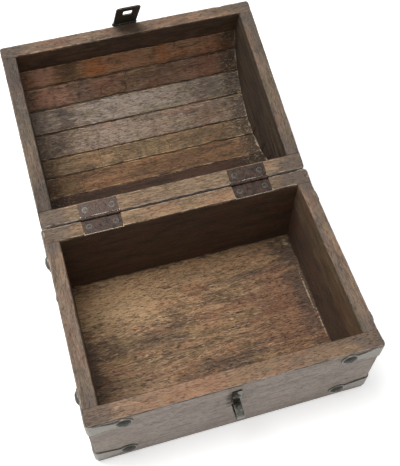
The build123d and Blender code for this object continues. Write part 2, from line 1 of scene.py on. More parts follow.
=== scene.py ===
import bmesh
import bpy
import json
from math import cos, radians, tan
from mathutils import Matrix, Vector, noise


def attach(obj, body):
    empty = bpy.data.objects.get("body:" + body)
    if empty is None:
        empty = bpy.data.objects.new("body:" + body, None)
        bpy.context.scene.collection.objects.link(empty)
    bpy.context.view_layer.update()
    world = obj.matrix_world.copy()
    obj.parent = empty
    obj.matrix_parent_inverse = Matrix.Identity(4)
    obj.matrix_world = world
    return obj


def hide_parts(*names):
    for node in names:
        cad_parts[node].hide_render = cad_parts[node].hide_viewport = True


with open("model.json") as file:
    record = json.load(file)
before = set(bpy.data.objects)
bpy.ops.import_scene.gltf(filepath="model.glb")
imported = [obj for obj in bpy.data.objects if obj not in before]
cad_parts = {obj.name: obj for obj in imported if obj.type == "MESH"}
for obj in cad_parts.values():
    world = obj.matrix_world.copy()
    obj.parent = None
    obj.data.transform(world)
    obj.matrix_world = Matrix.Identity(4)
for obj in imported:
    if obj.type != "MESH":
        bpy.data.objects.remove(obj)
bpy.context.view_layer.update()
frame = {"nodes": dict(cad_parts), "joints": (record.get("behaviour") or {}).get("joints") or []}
nodes = frame["nodes"]

# ---------------------------------------------------------------------------
# Studio: a camera high in front of the open chest, a pale floor that keeps
# the shadow, one large soft lamp overhead and an even pale surround.

camera_place = Vector((-0.10669, -0.30326, 0.70621))
camera_right = Vector((0.95869, -0.28392, 0.01717))
camera_up = Vector((0.23295, 0.81835, 0.52539))
camera_back = Vector((-0.16322, -0.49969, 0.85069))
camera_lens = 59.75
surround_strength = 0.42
lamp_power = 19.0
lamp_size = 0.9
lamp_place = Vector((-0.35, 0.28, 1.25))
lamp_aim = Vector((0, 0.05, 0.1))
ground_half_width = 6.0
ground_shade = 0.80
ground_lift = 0.52

scene = bpy.context.scene
lens = bpy.data.cameras.new("camera")
lens.lens = camera_lens
camera = bpy.data.objects.new("camera", lens)
camera.matrix_world = (
    Matrix.Translation(camera_place)
    @ Matrix((camera_right, camera_up, camera_back)).transposed().to_4x4()
)
scene.collection.objects.link(camera)
scene.camera = camera
scene.view_settings.view_transform = "Standard"

lamp_light = bpy.data.lights.new("overhead_lamp", "AREA")
lamp_light.shape = "DISK"
lamp_light.size = lamp_size
lamp_light.energy = lamp_power
lamp = bpy.data.objects.new("overhead_lamp", lamp_light)
lamp.location = lamp_place
lamp.rotation_euler = (lamp_aim - lamp_place).to_track_quat("-Z", "Y").to_euler()
scene.collection.objects.link(lamp)


def seen_directly(tree):
    """1 where the eye sees a thing directly, in a gloss or through glass."""
    rays = tree.nodes.new("ShaderNodeLightPath")
    either = tree.nodes.new("ShaderNodeMath")
    either.operation = "MAXIMUM"
    tree.links.new(rays.outputs["Is Camera Ray"], either.inputs[0])
    tree.links.new(rays.outputs["Is Glossy Ray"], either.inputs[1])
    seen = tree.nodes.new("ShaderNodeMath")
    seen.operation = "MAXIMUM"
    tree.links.new(either.outputs[0], seen.inputs[0])
    tree.links.new(rays.outputs["Is Transmission Ray"], seen.inputs[1])
    return seen.outputs[0]


surround = bpy.data.worlds.new("surround")
surround.use_nodes = True
scene.world = surround
sky = surround.node_tree
sky.nodes.clear()
sky_light = sky.nodes.new("ShaderNodeBackground")
sky_light.inputs["Strength"].default_value = surround_strength
sky_light.inputs["Color"].default_value = (1, 1, 1, 1)
sky_seen = sky.nodes.new("ShaderNodeBackground")
sky_seen.inputs["Color"].default_value = (1, 1, 1, 1)
sky_mix = sky.nodes.new("ShaderNodeMixShader")
sky.links.new(seen_directly(sky), sky_mix.inputs["Fac"])
sky.links.new(sky_light.outputs[0], sky_mix.inputs[1])
sky.links.new(sky_seen.outputs[0], sky_mix.inputs[2])
sky_out = sky.nodes.new("ShaderNodeOutputWorld")
sky.links.new(sky_mix.outputs[0], sky_out.inputs["Surface"])

ground_cover = bpy.data.materials.new("pale_floor")
ground_cover.use_nodes = True
cover = ground_cover.node_tree
cover.nodes.clear()
cover_paint = cover.nodes.new("ShaderNodeBsdfDiffuse")
cover_paint.inputs["Color"].default_value = (ground_shade, ground_shade, ground_shade, 1)
cover_glow = cover.nodes.new("ShaderNodeEmission")
lift = cover.nodes.new("ShaderNodeMath")
lift.operation = "MULTIPLY"
lift.inputs[1].default_value = ground_lift
cover.links.new(seen_directly(cover), lift.inputs[0])
cover.links.new(lift.outputs[0], cover_glow.inputs["Strength"])
cover_sum = cover.nodes.new("ShaderNodeAddShader")
cover.links.new(cover_paint.outputs[0], cover_sum.inputs[0])
cover.links.new(cover_glow.outputs[0], cover_sum.inputs[1])
cover_out = cover.nodes.new("ShaderNodeOutputMaterial")
cover.links.new(cover_sum.outputs[0], cover_out.inputs["Surface"])

ground_mesh = bpy.data.meshes.new("ground")
sheet = bmesh.new()
bmesh.ops.create_grid(sheet, x_segments=1, y_segments=1, size=ground_half_width)
sheet.to_mesh(ground_mesh)
sheet.free()
ground_mesh.materials.append(ground_cover)
ground = bpy.data.objects.new("ground", ground_mesh)
scene.collection.objects.link(ground)

# ---------------------------------------------------------------------------
# Front, back and end boards: planed boards, stained dark inside, rubbed to
# bare brown wood on the rim and gone grey outside. The end boards are butted
# between the other two and nailed, and all the open edges are worn.


def sides_of(name, own=Matrix()):
    """Axis, level and inward direction of a piece's six sides, in millimetres."""
    places = [own @ (vertex.co * 1000) for vertex in nodes[name].data.vertices]
    sides = {}
    for axis, (lower, upper) in enumerate((("left", "right"), ("front", "back"), ("bottom", "top"))):
        levels = [place[axis] for place in places]
        sides[lower] = (axis, round(min(levels), 2), 1)
        sides[upper] = (axis, round(max(levels), 2), -1)
    return sides


front_sides = sides_of("front_board")
back_sides = sides_of("back_board")
half_length = front_sides["right"][1]
half_depth = back_sides["back"][1]
end_inner_level = sides_of("right_board")["left"][1]
butt_start = end_inner_level + 0.2
grime_start = half_length - 17
cut_shares = (0.22, 0.5, 1.0)
ragged_wave = 8
chip_wave = 13
chip_start = 0.22
groove_half_width = 0.5
groove_depth = 0.8
unturned = ((0, 0, 0), (0, 0, 0))
across = (0, 0, radians(90))


def tone(red, green, blue):
    """A colour from a paint chart, 0 to 255, as a shader takes it."""
    linear = [((part / 255 + 0.055) / 1.055) ** 2.4 for part in (red, green, blue)]
    return (*linear, 1.0)


class Finish:
    """One material while it is being mixed. Lengths are in millimetres.

    A colour is given as on a paint chart, as three parts from 0 to 255.
    """

    def __init__(self, name, metallic=0.0, specular=0.35):
        self.material = bpy.data.materials.new(name)
        self.material.use_nodes = True
        self.tree = self.material.node_tree
        self.shader = self.tree.nodes["Principled BSDF"]
        self.shader.inputs["Metallic"].default_value = metallic
        self.shader.inputs["Specular IOR Level"].default_value = specular
        source = self.tree.nodes.new("ShaderNodeTexCoord")
        self.place = self.map(source.outputs["Object"], stretch=(1000, 1000, 1000))

    def feed(self, socket, value):
        """Joins another node's output to the socket, or sets its value."""
        if isinstance(value, bpy.types.NodeSocket):
            self.tree.links.new(value, socket)
        else:
            socket.default_value = value

    def map(self, place, shift=(0, 0, 0), turn=(0, 0, 0), stretch=(1, 1, 1)):
        """Stretched, then turned, then shifted coordinates."""
        mapping = self.tree.nodes.new("ShaderNodeMapping")
        self.tree.links.new(place, mapping.inputs["Vector"])
        mapping.inputs["Location"].default_value = shift
        mapping.inputs["Rotation"].default_value = turn
        mapping.inputs["Scale"].default_value = stretch
        return mapping.outputs["Vector"]

    def noise(self, place, size, detail=3.0, roughness=0.55, shift=(0, 0, 0)):
        """Cloudy noise whose lumps have the given size along each axis."""
        cloud = self.tree.nodes.new("ShaderNodeTexNoise")
        stretch = tuple(1 / length for length in size)
        self.tree.links.new(self.map(place, shift=shift, stretch=stretch), cloud.inputs["Vector"])
        cloud.inputs["Scale"].default_value = 1.0
        cloud.inputs["Detail"].default_value = detail
        cloud.inputs["Roughness"].default_value = roughness
        return cloud.outputs["Fac"]

    def step(self, kind, first, second=0.0, third=0.0):
        """The result of one arithmetic step."""
        reckoner = self.tree.nodes.new("ShaderNodeMath")
        reckoner.operation = kind
        self.feed(reckoner.inputs[0], first)
        self.feed(reckoner.inputs[1], second)
        self.feed(reckoner.inputs[2], third)
        return reckoner.outputs[0]

    def contrast(self, value, amount):
        """A noise spread wider round its middle."""
        return self.step("MULTIPLY_ADD", value, amount, 0.5 - 0.5 * amount)

    def fade(self, value, start, end, low=0.0, high=1.0):
        """Runs smoothly from low at start to high at end, and stays there."""
        ramp = self.tree.nodes.new("ShaderNodeMapRange")
        ramp.interpolation_type = "SMOOTHSTEP"
        self.feed(ramp.inputs["Value"], value)
        ramp.inputs["From Min"].default_value = start
        ramp.inputs["From Max"].default_value = end
        ramp.inputs["To Min"].default_value = low
        ramp.inputs["To Max"].default_value = high
        return ramp.outputs["Result"]

    def axis(self, place, letter):
        """One coordinate of a place."""
        parts = self.tree.nodes.new("ShaderNodeSeparateXYZ")
        self.tree.links.new(place, parts.inputs[0])
        return parts.outputs[letter]

    def shades(self, value, *colours):
        """A run of colours, evenly spread over the middle of the value's range."""
        ramp = self.tree.nodes.new("ShaderNodeValToRGB")
        stops = ramp.color_ramp.elements
        while len(stops) < len(colours):
            stops.new(0.5)
        for i, colour in enumerate(colours):
            stops[i].position = 0.22 + 0.56 * i / (len(colours) - 1)
            stops[i].color = tone(*colour)
        self.feed(ramp.inputs["Fac"], value)
        return ramp.outputs["Color"]

    def blend(self, under, over, amount):
        """One mixed colour laid over another."""
        layer = self.tree.nodes.new("ShaderNodeMix")
        layer.data_type = "RGBA"
        self.feed(layer.inputs["Factor"], amount)
        self.feed(layer.inputs["A"], under)
        self.feed(layer.inputs["B"], over)
        return layer.outputs["Result"]

    def paint(self, under, colour, amount):
        """One plain colour laid over a mixed one."""
        return self.blend(under, tone(*colour), amount)

    def finished(self, colour, roughness, height, depth):
        """The material, its surface raised by the height as deep as given."""
        bump = self.tree.nodes.new("ShaderNodeBump")
        bump.inputs["Distance"].default_value = depth / 1000
        self.tree.links.new(height, bump.inputs["Height"])
        self.tree.links.new(bump.outputs["Normal"], self.shader.inputs["Normal"])
        self.tree.links.new(colour, self.shader.inputs["Base Color"])
        self.tree.links.new(roughness, self.shader.inputs["Roughness"])
        return self.material


outside = {
    "dark": (142, 130, 121),
    "middle": (166, 153, 143),
    "light": (182, 170, 160),
    "accent": (158, 140, 127),
    "fleck": (190, 180, 170),
}


class Wood(Finish):
    """Aged timber. The lie turns and shifts it to the piece's own place."""

    broad_share, streak_share, fibre_share = 0.33, 0.42, 0.25
    reds, greens = (1.10, 0.88, 0.76), (0.88, 0.90, 0.66)
    pore_colour = (34, 25, 20)
    pore_depth = 0.45
    sawn_dark, sawn_light = (104, 90, 79), (150, 134, 120)

    def __init__(self, name, lie=unturned, turn=(0, 0, 0), shift=(0, 0, 0), sway=5.0):
        super().__init__(name, specular=0.3)
        self.own = self.map(self.place, turn=lie[0], shift=lie[1])
        self.along = self.map(self.own, turn=turn, shift=shift)
        bend = self.noise(self.along, size=(80, 30, 30), detail=1)
        bent = self.tree.nodes.new("ShaderNodeVectorMath")
        bent.operation = "MULTIPLY_ADD"
        self.tree.links.new(bend, bent.inputs[0])
        bent.inputs[1].default_value = (0, sway, sway)
        self.tree.links.new(self.along, bent.inputs[2])
        flow = bent.outputs["Vector"]
        broad = self.noise(flow, size=(90, 7, 7), detail=2)
        streak = self.noise(flow, size=(20, 1.8, 1.8), detail=3, roughness=0.6)
        self.fibre = self.noise(flow, size=(6, 0.6, 0.6), detail=2)
        mixed = self.step("MULTIPLY", broad, self.broad_share)
        mixed = self.step("MULTIPLY_ADD", streak, self.streak_share, mixed)
        mixed = self.step("MULTIPLY_ADD", self.fibre, self.fibre_share, mixed)
        self.grain = self.contrast(mixed, 2.6)
        self.bands = self.fade(broad, 0.50, 0.62)
        self.pores = self.fade(self.noise(flow, size=(5, 0.6, 0.6), detail=2), 0.56, 0.66)
        flecks = self.noise(flow, size=(7, 1.0, 1.0), detail=3, shift=(7, 3, 1))
        self.flecks = self.fade(flecks, 0.56, 0.66)
        self.cloud = self.noise(self.along, size=(26, 9, 9), detail=5, roughness=0.62)
        worn_edge = self.tree.nodes.new("ShaderNodeAttribute")
        worn_edge.attribute_name = "edge"
        self.edge = self.step("MULTIPLY_ADD", self.fibre, 0.5, worn_edge.outputs["Fac"])

    def surface(
        self, dark, middle, light, accent=None, accent_amount=0.5, fleck=None, fleck_amount=0.35
    ):
        """The colours of one planed or worn face."""
        colour = self.shades(self.grain, dark, middle, light)
        if accent:
            colour = self.paint(colour, accent, self.step("MULTIPLY", self.bands, accent_amount))
        colour = self.paint(colour, dark, self.fade(self.cloud, 0.50, 0.66, high=0.6))
        colour = self.paint(colour, light, self.fade(self.cloud, 0.47, 0.36, high=0.4))
        if fleck:
            colour = self.paint(colour, fleck, self.step("MULTIPLY", self.flecks, fleck_amount))
        return colour

    def stained(self, colour, middle, amount):
        """Broad stains: the wood goes redder in some places, greener in others."""
        drift = self.noise(self.along, size=(34, 13, 13), detail=5, roughness=0.62, shift=(11, 2, 5))
        red = [part * share for part, share in zip(middle, self.reds)]
        green = [part * share for part, share in zip(middle, self.greens)]
        colour = self.paint(colour, red, self.fade(drift, 0.51, 0.62, high=amount))
        return self.paint(colour, green, self.fade(drift, 0.48, 0.38, high=amount))

    def reach_from(self, centre, reach):
        """How far a place lies from a centre, as a share of the reach."""
        stretch = tuple(1 / length for length in reach)
        shift = tuple(-middle / length for middle, length in zip(centre, reach))
        far = self.tree.nodes.new("ShaderNodeVectorMath")
        far.operation = "LENGTH"
        self.tree.links.new(self.map(self.own, shift=shift, stretch=stretch), far.inputs[0])
        return far.outputs["Value"]

    def patch(self, under, colour, centre, reach, strength):
        """A ragged, soft-edged patch of a colour round a place."""
        ragged = self.noise(self.own, size=(9, 3, 3), detail=4, roughness=0.6, shift=centre)
        far = self.step("MULTIPLY_ADD", ragged, 3.2, self.reach_from(centre, reach))
        return self.paint(under, colour, self.fade(far, 2.75, 1.9, high=strength))

    def corners(self, colour, letter="X", start=grime_start, grime=(86, 75, 67)):
        """Grime that has gathered on a rim near its two ends."""
        reach = self.step("ABSOLUTE", self.axis(self.own, letter))
        reach = self.step("MULTIPLY_ADD", self.cloud, 30, reach)
        return self.paint(colour, grime, self.fade(reach, start, start + 16, high=0.72))

    def skin(self, side, start=1.4, end=0.4):
        """0 deeper under one side than the start, 1 nearer to it than the end."""
        axis, level, inward = side
        return self.fade(self.axis(self.own, "XYZ"[axis]), level + inward * start, level + inward * end)

    def weathered(self, colour, side, greys):
        """The colour, gone grey on one side."""
        return self.blend(colour, self.surface(**greys), self.skin(side))

    def end_grain(self, colour):
        """The sawn ends, at the left and right sides of a long board."""
        sawn = self.noise(self.own, size=(9, 1.3, 3.5), detail=5, roughness=0.65)
        reach = self.step("ABSOLUTE", self.axis(self.own, "X"))
        ends = self.fade(reach, half_length - 0.8, half_length - 0.1)
        return self.blend(colour, self.shades(sawn, self.sawn_dark, self.sawn_light), ends)

    def timber(self, colour, pore=0.5, line=(50, 40, 34), line_start=0.82, rub=None, rub_amount=0.7):
        """The material, with its pores, the wear and dirt of its edges and its relief."""
        colour = self.paint(colour, self.pore_colour, self.step("MULTIPLY", self.pores, pore))
        if rub:
            beside_edge = self.fade(self.edge, 0.42, 0.62)
            off_corner = self.fade(self.edge, 1.05, 0.85)
            patchy = self.noise(self.along, size=(14, 6, 6), detail=5, roughness=0.65)
            rubbed = self.step("MULTIPLY", beside_edge, off_corner)
            rubbed = self.step("MULTIPLY", rubbed, self.fade(patchy, 0.48, 0.60))
            colour = self.paint(colour, rub, self.step("MULTIPLY", rubbed, rub_amount))
        dirt = self.fade(self.edge, line_start, line_start + 0.22, high=0.9)
        stretches = self.noise(self.along, size=(22, 9, 9), detail=3, shift=(5, 1, 9))
        dirt = self.step("MULTIPLY", dirt, self.fade(stretches, 0.40, 0.56, low=0.35))
        colour = self.paint(colour, line, dirt)
        sunk = self.step("MULTIPLY_ADD", self.pores, -0.6, self.fibre)
        height = self.step("MULTIPLY_ADD", self.grain, 0.7, sunk)
        roughness = self.fade(self.fibre, 0.3, 0.7, low=0.5, high=0.78)
        return self.finished(colour, roughness, height, self.pore_depth)


def cut_across(shape, direction, places):
    """Cuts a shape at each place along one axis and keeps all of it."""
    across_it = Vector((0, 0, 0))
    across_it[direction] = 1
    for place in places:
        bmesh.ops.bisect_plane(
            shape,
            geom=shape.verts[:] + shape.edges[:] + shape.faces[:],
            dist=0.0001,
            plane_co=across_it * place,
            plane_no=across_it,
        )


def smooth_piece(name, shape, material, crease):
    """Makes a shape an object, smooth but for edges sharper than the crease."""
    mesh = bpy.data.meshes.new(name)
    shape.to_mesh(mesh)
    shape.free()
    mesh.shade_smooth()
    mesh.set_sharp_from_angle(angle=radians(crease))
    mesh.materials.append(material)
    piece = bpy.data.objects.new(name, mesh)
    scene.collection.objects.link(piece)
    return piece


def worn(
    name, body, material, sides, edges, hollows=(), own=Matrix(), butted=None,
    spacing=3.6, reach=2.4, depth=0.35, joints=(), slope=None, swell=0.0,
):
    """A piece again, its edges worn down and its faces uneven, in its own frame.

    An edge is the two sides that meet there. A hollow is a side and how far it
    is sunk. The butted side is the one that the end pieces meet, where no edge
    is worn. A joint is the place along x where two lengths of a board meet, in
    a groove across a hollow side. The slope is that of a stave's bevelled
    sides, which the swell pushes out until the seams are shut.
    """
    shape = bmesh.new()
    shape.from_mesh(nodes[name].data)
    bmesh.ops.remove_doubles(shape, verts=shape.verts, dist=1e-6)
    to_own = own @ Matrix.Scale(1000, 4)
    bmesh.ops.transform(shape, matrix=to_own, verts=shape.verts)
    meetings = []
    for edge in edges:
        first, second = edge.split()
        meetings.append((*sides[first], *sides[second], first == butted))
    for a, level_a, inward_a, b, level_b, inward_b, _ in meetings:
        for share in cut_shares:
            cut_across(shape, a, [level_a + reach * share * inward_a])
            cut_across(shape, b, [level_b + reach * share * inward_b])
    for run in sorted({3 - meeting[0] - meeting[3] for meeting in meetings}):
        lowest = min(vertex.co[run] for vertex in shape.verts)
        length = max(vertex.co[run] for vertex in shape.verts) - lowest
        count = int(length / spacing)
        cut_across(shape, run, [lowest + length / count * (i + 0.5) for i in range(count)])
    for place in joints:
        cut_across(shape, 0, [place - groove_half_width, place, place + groove_half_width])
    seed = sum(ord(letter) for letter in name)
    bite = shape.verts.layers.float.new("edge")
    for vertex in shape.verts:
        start = vertex.co.copy()
        most = 0.0
        for a, level_a, inward_a, b, level_b, inward_b, is_butted in meetings:
            near_a = 1 - abs(start[a] - level_a) / reach
            near_b = 1 - abs(start[b] - level_b) / reach
            if near_a <= 0 or near_b <= 0 or (is_butted and abs(start.x) > butt_start):
                continue
            along = start[3 - a - b]
            ragged = noise.noise(Vector((along / ragged_wave, seed, level_a / 7 + level_b / 5)))
            chipped = noise.noise(Vector((along / chip_wave, seed + 9, level_a + level_b)))
            bitten = 0.55 + 0.8 * ragged + 3.5 * max(0, chipped - chip_start)
            pull = depth * bitten * (near_a * near_b) ** 1.4
            vertex.co[a] += pull * inward_a
            vertex.co[b] += pull * inward_b
            most = max(most, near_a * near_b)
        for side, hollow in hollows:
            axis, level, inward = sides[side]
            if abs(start[axis] - level) > 0.02:
                continue
            uneven = noise.noise(Vector((start.x / 24, start.y / 6, start.z / 6 + seed)))
            sunk = hollow * (0.5 + 0.5 * uneven)
            if any(abs(start.x - place) < 0.1 for place in joints):
                sunk += groove_depth
                most = 1.0
            vertex.co[axis] += sunk * inward
        if slope and abs(start.y) > start.z * slope - 0.4:
            vertex.co.y += swell if start.y > 0 else -swell
        vertex[bite] = most
    bmesh.ops.transform(shape, matrix=to_own.inverted(), verts=shape.verts)
    piece = smooth_piece(f"{name}_worn", shape, material, crease=38)
    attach(piece, body)
    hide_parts(name)


front_wood = Wood("front_board_wood", shift=(300, 40, 0))
front_colour = front_wood.surface(
    dark=(98, 78, 62), middle=(128, 103, 83), light=(150, 122, 98),
    accent=(148, 108, 80), accent_amount=0.45, fleck=(164, 136, 110),
)
front_colour = front_wood.stained(front_colour, (132, 107, 86), 0.25)
for colour, centre, reach in (
    ((118, 98, 74), (17, -86, 98), (30, 14, 9)),
    ((104, 88, 70), (78, -86, 98), (40, 14, 9)),
    ((142, 104, 78), (-30, -90, 98), (50, 12, 9)),
    ((178, 150, 120), (-103, -87, 98), (4, 3, 9)),
):
    front_colour = front_wood.patch(front_colour, colour, centre, reach, strength=0.6)
front_colour = front_wood.corners(front_colour)
front_colour = front_wood.weathered(front_colour, front_sides["front"], outside)
front_stain = front_wood.surface(dark=(58, 42, 32), middle=(92, 68, 49), light=(128, 99, 70))
front_inner = front_wood.skin(front_sides["back"], 1.2, 0.3)
front_colour = front_wood.blend(front_colour, front_stain, front_inner)
# A dark patch beside the staple plate: stain, and painted shadow of the staple.
stain_and_staple_shadow = (74, 60, 50)
front_colour = front_wood.patch(
    front_colour, stain_and_staple_shadow, centre=(-7, -97, 72), reach=(5, 4, 17), strength=0.8
)
front_colour = front_wood.end_grain(front_colour)
worn(
    "front_board", "box", front_wood.timber(front_colour), front_sides,
    edges=(
        "front top", "back top", "front bottom", "left front", "right front", "left top", "right top",
    ),
    hollows=(("top", 0.12), ("front", 0.25)),
    butted="back",
)

back_wood = Wood("back_board_wood", shift=(-200, 90, 20))
back_colour = back_wood.surface(
    dark=(88, 70, 55), middle=(120, 97, 75), light=(148, 122, 96),
    accent=(136, 104, 74), fleck=(168, 144, 114),
)
back_colour = back_wood.stained(back_colour, (124, 102, 80), 0.25)
toward_right = back_wood.fade(back_wood.axis(back_wood.own, "X"), 70, 120, high=0.6)
back_colour = back_wood.paint(back_colour, (84, 72, 66), toward_right)
back_colour = back_wood.corners(back_colour)
back_stain = back_wood.surface(
    dark=(58, 44, 35), middle=(80, 60, 47), light=(98, 74, 57), accent=(100, 70, 48), accent_amount=0.3
)
back_stain = back_wood.stained(back_stain, (84, 64, 46), 0.5)
back_inner = back_wood.skin(back_sides["front"], 1.2, 0.3)
back_colour = back_wood.blend(back_colour, back_stain, back_inner)
back_colour = back_wood.weathered(back_colour, back_sides["back"], outside)
back_colour = back_wood.end_grain(back_colour)
worn(
    "back_board", "box", back_wood.timber(back_colour, rub=(190, 164, 134)), back_sides,
    edges=(
        "back top", "front top", "back bottom", "left back", "right back", "left top", "right top",
    ),
    hollows=(("front", 0.25), ("back", 0.25)),
    butted="front",
)

# The end boards' outsides are a lighter grey than the front's: weathered grey, and painted light for the
# bounce light on that side.
end_grey_and_painted_light = {
    "dark": (152, 139, 126),
    "middle": (178, 163, 148),
    "light": (194, 180, 164),
    "accent": (168, 149, 130),
    "fleck": (190, 180, 170),
}
for name, side, outer, inner in (
    ("left_board", -1, "left", "right"),
    ("right_board", 1, "right", "left"),
):
    end_sides = sides_of(name)
    end_wood = Wood(f"{name}_wood", turn=across, shift=(0, 150 * side, 0))
    end_colour = end_wood.surface(
        dark=(80, 68, 57), middle=(106, 90, 76), light=(130, 110, 92),
        accent=(138, 106, 82), accent_amount=0.4, fleck=(150, 130, 110),
    )
    end_colour = end_wood.stained(end_colour, (108, 92, 78), 0.25)
    end_colour = end_wood.corners(end_colour, "Y", start=76)
    high_face = end_wood.surface(
        dark=(66, 52, 39), middle=(92, 75, 55), light=(114, 95, 70), accent=(110, 82, 54), accent_amount=0.25
    )
    low_face = end_wood.surface(dark=(52, 40, 32), middle=(70, 54, 43), light=(88, 68, 53))
    # The inner face is lighter in a ragged band below its top edge and darker further down.
    band_line = end_wood.noise(end_wood.own, size=(20, 38, 16), detail=4, shift=(0, 2.6, 0))
    band_line = end_wood.step("MULTIPLY_ADD", band_line, 60, end_wood.axis(end_wood.own, "Z"))
    end_stain = end_wood.blend(low_face, high_face, end_wood.fade(band_line, 86, 98))
    end_stain = end_wood.stained(end_stain, (82, 66, 50), 0.5)
    end_colour = end_wood.blend(end_colour, end_stain, end_wood.skin(end_sides[inner], 1.2, 0.3))
    end_colour = end_wood.weathered(end_colour, end_sides[outer], end_grey_and_painted_light)
    worn(
        name, "box", end_wood.timber(end_colour), end_sides,
        edges=(f"{outer} top", f"{inner} top", f"{outer} bottom"),
        hollows=((inner, 0.25), (outer, 0.25)),
    )

# ---------------------------------------------------------------------------
# Floor board: one wide rough-sawn board, golden brown, darkened by use, let
# into the boards' bottom edges and nailed from below. Its right edge has split.

floor_sides = {
    "top": sides_of("floor_board")["top"],
    "right": (0, end_inner_level, -1),
    "back": (1, back_sides["front"][1], -1),
}
dirt = (70, 57, 48)
bare_lip = (176, 156, 128)
floor_patches = (
    # The two pale patches at the back are partly the board's golden colour and partly painted light, lifting
    # the back board's shadow.
    ((196, 162, 120), (-76, 50), (62, 40), 0.5),
    ((178, 142, 104), (0, 66), (150, 18), 0.4),
    ((112, 74, 54), (92, 0), (46, 70), 0.6),
    ((142, 114, 90), (-70, -56), (50, 34), 0.5),
    (dirt, (-44, 2), (32, 16), 0.5),
    (dirt, (-88, 4), (30, 16), 0.2),
    (dirt, (8, -46), (52, 18), 0.55),
    (dirt, (108, 62), (26, 22), 0.75),
    (dirt, (108, 10), (14, 70), 0.75),
    (dirt, (62, 45), (36, 5), 0.6),
    (dirt, (-114, -14), (9, 44), 0.75),
    (bare_lip, (112.5, 8), (0.9, 24), 0.65),
    (bare_lip, (114.5, -26), (0.9, 18), 0.65),
    (bare_lip, (110, 72), (3, 5), 0.65),
)
patch_depth = 20

floor_wood = Wood("floor_board_wood", shift=(500, -60, 10), sway=12.0)
floor_colour = floor_wood.surface(
    dark=(66, 49, 37), middle=(118, 92, 70), light=(164, 132, 98),
    accent=(144, 106, 74), fleck=(188, 158, 122), fleck_amount=0.7,
)
floor_colour = floor_wood.stained(floor_colour, (128, 102, 78), 0.3)
for colour, (x, y), reach, strength in floor_patches:
    centre = (x, y, floor_sides["top"][1])
    floor_colour = floor_wood.patch(floor_colour, colour, centre, (*reach, patch_depth), strength)
worn(
    "floor_board", "box", floor_wood.timber(floor_colour, pore=0.75), floor_sides,
    edges=("right top", "back top"),
    hollows=(("top", 0.35),),
)

# ---------------------------------------------------------------------------
# Corner straps and studs: sheet iron cut by hand and wrapped round the corners,
# gone grey, held by dark domed studs, or low nails where the open lid passes.
# The heads are beaten down to about half of the height that they were made.

strap_thickness = 1.0
stud_levels = (17.5, 88.0)
stud_reach = 8
stud_kept = 0.52
dent_share = 0.12
dents_per_metre = 420


def cover_node(name, material):
    """Gives a carried-over piece its material."""
    mesh = nodes[name].data
    mesh.materials.clear()
    mesh.materials.append(material)


class Iron(Finish):
    """Old ironwork, darkened in patches, its edges rubbed bright, gone dark or given painted shade."""

    spot_colour = (70, 50, 38)

    def __init__(self, name, dark, light, rim, metallic=0.6, reach=0.7, spotted=0.5, patchy=True):
        super().__init__(name, metallic=metallic, specular=0.5)
        self.patina = self.noise(self.place, size=(4.5, 4.5, 4.5), detail=6, roughness=0.65)
        colour = self.shades(self.contrast(self.patina, 2.0), dark, light)
        spots = self.fade(self.noise(self.place, size=(1.4, 1.4, 1.4), detail=4), 0.56, 0.68)
        colour = self.paint(colour, self.spot_colour, self.step("MULTIPLY", spots, spotted))
        self.edge = self.edges(reach)
        if patchy:
            rubbed = self.fade(self.noise(self.place, size=(3, 3, 3), detail=3), 0.28, 0.48)
            self.edge = self.step("MULTIPLY", self.edge, rubbed)
        self.colour = self.paint(colour, rim, self.edge)

    def edges(self, reach):
        """1 along sharp edges and 0 on flat faces."""
        soft = self.tree.nodes.new("ShaderNodeBevel")
        soft.samples = 4
        soft.inputs["Radius"].default_value = reach / 1000
        hard = self.tree.nodes.new("ShaderNodeNewGeometry")
        match = self.tree.nodes.new("ShaderNodeVectorMath")
        match.operation = "DOT_PRODUCT"
        self.tree.links.new(soft.outputs["Normal"], match.inputs[0])
        self.tree.links.new(hard.outputs["Normal"], match.inputs[1])
        return self.fade(match.outputs["Value"], 0.99, 0.85)

    def forged(self, depth=0.25, gloss=(0.32, 0.58)):
        """The material, with its hammered relief."""
        dents = self.noise(self.place, size=(2.4, 2.4, 2.4), detail=3)
        roughness = self.fade(self.patina, 0.3, 0.7, *gloss)
        return self.finished(self.colour, roughness, dents, depth)


# The dark colour along all the straps' edges is painted shade, for the shadow where a strap's edge meets the
# wood.
strap_finish = Iron(
    "strap_iron", dark=(124, 119, 109), light=(152, 146, 135), rim=(50, 39, 32),
    metallic=0.1, reach=1.8, patchy=False,
).forged()
for name in nodes:
    if name.endswith("_strap"):
        cover_node(name, strap_finish)

stud_iron = Iron("stud_iron", dark=(24, 25, 19), light=(54, 53, 43), rim=(104, 100, 88), metallic=0.4)
height = stud_iron.axis(stud_iron.place, "Z")
ragged_height = stud_iron.step("MULTIPLY_ADD", stud_iron.patina, 5.0, height)
